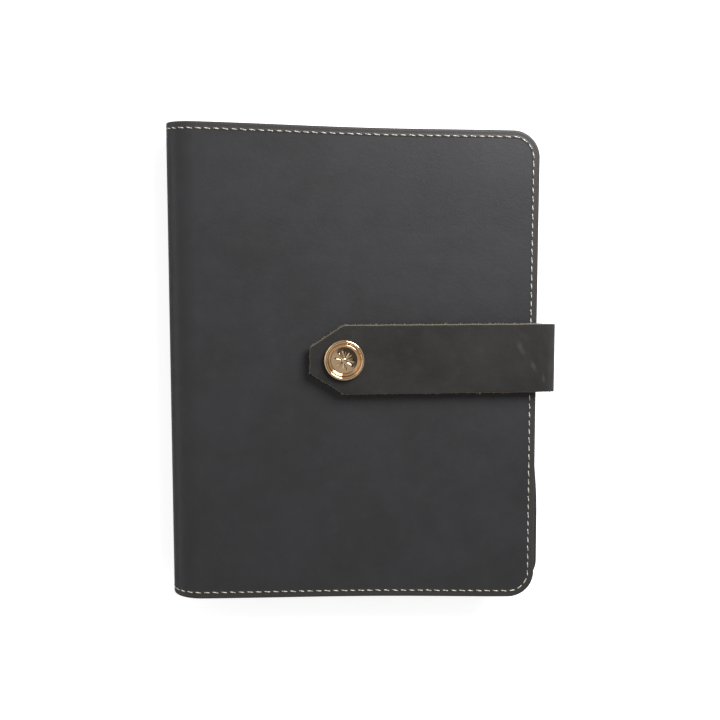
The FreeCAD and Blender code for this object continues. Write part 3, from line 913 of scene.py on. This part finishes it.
def lathe(name, profile, steps, relief=None):
    """A turned piece on the snap's axis; relief(radius, angle) raises its top side."""
    verts, faces = [], []
    for radius, height, raised in profile:
        for step in range(steps):
            angle = 2 * math.pi * step / steps
            up = height + (relief(radius, angle) if raised and relief else 0.0)
            verts.append((SNAP_X + radius * math.cos(angle), STRAP_Y + radius * math.sin(angle), up))
    for ring in range(len(profile) - 1):
        for step in range(steps):
            after = (step + 1) % steps
            low, high = ring * steps, (ring + 1) * steps
            faces.append((low + step, low + after, high + after, high + step))
    verts.append((SNAP_X, STRAP_Y, profile[0][1]))
    verts.append((SNAP_X, STRAP_Y, profile[-1][1] + (relief(0, 0) if relief else 0)))
    last = (len(profile) - 1) * steps
    for step in range(steps):
        after = (step + 1) % steps
        faces.append((len(verts) - 2, after, step))
        faces.append((len(verts) - 1, last + step, last + after))
    return new_object(name, verts, faces)


def rosette(radius, angle):
    """Eight plain petals round a small boss."""
    share = radius / CAP_R
    petals = smoothstep(math.cos(8 * angle), -0.3, 0.6) * smoothstep(share, 0.15, 0.22)
    petals *= 1 - smoothstep(share, 0.38, 0.50)
    boss = 1 - smoothstep(share, 0.05, 0.11)
    return CAP_HEIGHT * (0.07 * petals + 0.09 * boss)


def cap_profile():
    """From the shank's flare up round the rolled rim and into the sunk disc."""
    through = STRAP_TOP - STRAP - 0.5 * MM
    points = [(FLARE_R, through - FLARE, False), (FLARE_R, through, False),
              (SHANK_R, through, False), (SHANK_R, STRAP_TOP, False)]
    points.append((CAP_R - BEAD_R * 0.7, STRAP_TOP + 0.02 * MM, False))
    level = STRAP_TOP + CAP_HEIGHT
    for step in range(13):
        angle = math.radians(-60 + 19 * step)
        points.append((CAP_R - BEAD_R + BEAD_R * math.cos(angle),
                       level - BEAD_R + BEAD_R * math.sin(angle), False))
    # from the bead's foot over a low ring to the disc, as shares of the cap's radius and height
    inward = [(0.82, -0.42), (0.805, -0.47), (0.79, -0.42), (0.775, -0.30), (0.755, -0.23),
              (0.735, -0.23), (0.715, -0.31), (0.70, -0.43), (0.69, -0.47), (DISC_SHARE, -DISC_DROP)]
    points += [(CAP_R * share, level + CAP_HEIGHT * drop, False) for share, drop in inward]
    for step in range(1, 24):
        points.append((CAP_R * DISC_SHARE * (1 - step / 24), level - CAP_HEIGHT * DISC_DROP, True))
    return points


cap = lathe("cap", cap_profile(), 144, rosette)
cap.data.materials.append(GOLD)
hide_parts("snap_cap")
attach(cap, "strap_tongue")

for node, material in (("snap_socket", BRASS), ("snap_ring_spring", STEEL), ("snap_stud", BRASS),
                       ("snap_stud_post", BRASS), ("back_cover_board", BOARD),
                       ("front_cover_board", BOARD)):
    carried = bpy.data.objects[node]
    carried.data.materials.clear()
    carried.data.materials.append(material)


# ---------------------------------------------------------------- light, floor, camera
FLOOR_HALF = 6.0
FLOOR_GLOW = 0.67
CARD_NEAR = Vector((41.5, -72)) * MM  # the middle of the card's near edge, over the cover
CARD_HALF_WIDTH, CARD_LENGTH, CARD_HEIGHT = 0.3, 0.42, 0.75
WORLD_STRENGTH = 0.4


def make_light(name, location, size, power, colour=(1, 1, 1)):
    data = bpy.data.lights.new(name, "AREA")
    data.shape = "DISK"
    data.size = size
    data.energy = power
    data.color = colour
    light = bpy.data.objects.new(name, data)
    bpy.context.scene.collection.objects.link(light)
    light.location = location
    light.rotation_mode = "QUATERNION"
    light.rotation_quaternion = (-Vector(location)).to_track_quat("-Z", "Y")


def make_stage():
    mesh = bpy.data.meshes.new("floor")
    corners = [(x * FLOOR_HALF, y * FLOOR_HALF, 0) for x, y in ((-1, -1), (1, -1), (1, 1), (-1, 1))]
    mesh.from_pydata(corners, [], [(0, 1, 2, 3)])
    floor = bpy.data.objects.new("floor", mesh)
    bpy.context.scene.collection.objects.link(floor)
    n = Nodes("pale_floor")
    n.shader.inputs["Specular IOR Level"].default_value = 0.0
    n.shader.inputs["Emission Color"].default_value = (1, 1, 1, 1)
    n.shader.inputs["Emission Strength"].default_value = FLOOR_GLOW
    mesh.materials.append(n.finish(Base_Color=(0.93, 0.93, 0.93, 1), Roughness=1.0))

    # a dark card high over the cover, which the polished cap and the oiled leather reflect
    mesh = bpy.data.meshes.new("dark_card")
    across = Vector((1, -1)).normalized() * CARD_HALF_WIDTH
    away = Vector((1, 1)).normalized() * CARD_LENGTH
    corners = [CARD_NEAR - across, CARD_NEAR + across,
               CARD_NEAR + across + away, CARD_NEAR - across + away]
    mesh.from_pydata([(c.x, c.y, CARD_HEIGHT) for c in corners], [], [(0, 1, 2, 3)])
    card = bpy.data.objects.new("dark_card", mesh)
    card.visible_camera = False  # only its reflection is wanted, from wherever the camera looks
    bpy.context.scene.collection.objects.link(card)
    n = Nodes("dark_card")
    mesh.materials.append(n.finish(Base_Color=(0.02, 0.02, 0.022, 1), Roughness=1.0))

    world = bpy.data.worlds.new("studio")
    world.use_nodes = True
    world.node_tree.nodes["Background"].inputs["Color"].default_value = (1, 1, 1, 1)
    world.node_tree.nodes["Background"].inputs["Strength"].default_value = WORLD_STRENGTH
    bpy.context.scene.world = world
    bpy.context.scene.view_settings.view_transform = "Standard"
    make_light("key", (0.30, 0.42, 0.50), 0.42, 6.2, (0.98, 0.98, 1.0))
    make_light("fill", (-0.8, 0.3, 1.1), 1.0, 1.4)


make_camera()
make_stage()
